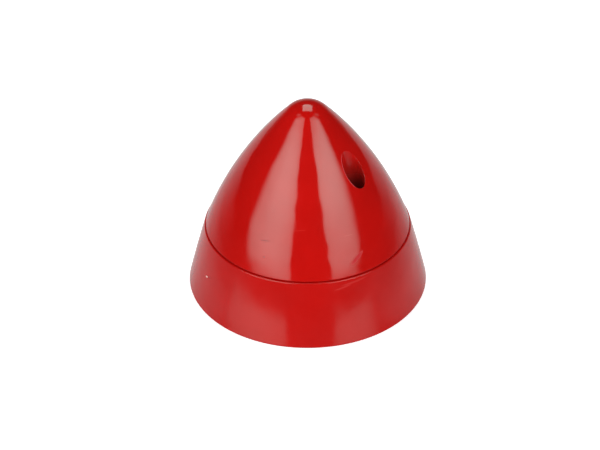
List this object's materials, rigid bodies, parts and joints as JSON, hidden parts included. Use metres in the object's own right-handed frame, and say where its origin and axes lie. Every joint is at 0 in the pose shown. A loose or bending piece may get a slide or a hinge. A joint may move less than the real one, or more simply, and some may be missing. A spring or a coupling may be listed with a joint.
{
  "type": "propeller spinner",
  "caption": "Propeller spinner: round-nosed cone over a tapered backplate ring, with deep screw pockets running parallel to the shaft and breaking out through the cone's side.",
  "frame": {"origin": "on the shaft axis, in the plane of the backplate's rear rim", "axes": "+Z along the shaft from the rear rim to the nose; +X through the two screws; +Y completes the right-handed frame"},
  "size_m": [0.0632, 0.0632, 0.0555],
  "materials": {
    "cone_plastic": "glossy moulded red plastic",
    "ring_plastic": "glossy moulded red plastic",
    "screw_steel": "zinc-plated steel"
  },
  "bodies": {
    "root": {"nose_cone": "cone_plastic", "backplate": "ring_plastic", "cone_screw_east": "screw_steel", "cone_screw_west": "screw_steel"}
  },
  "joints": []
}
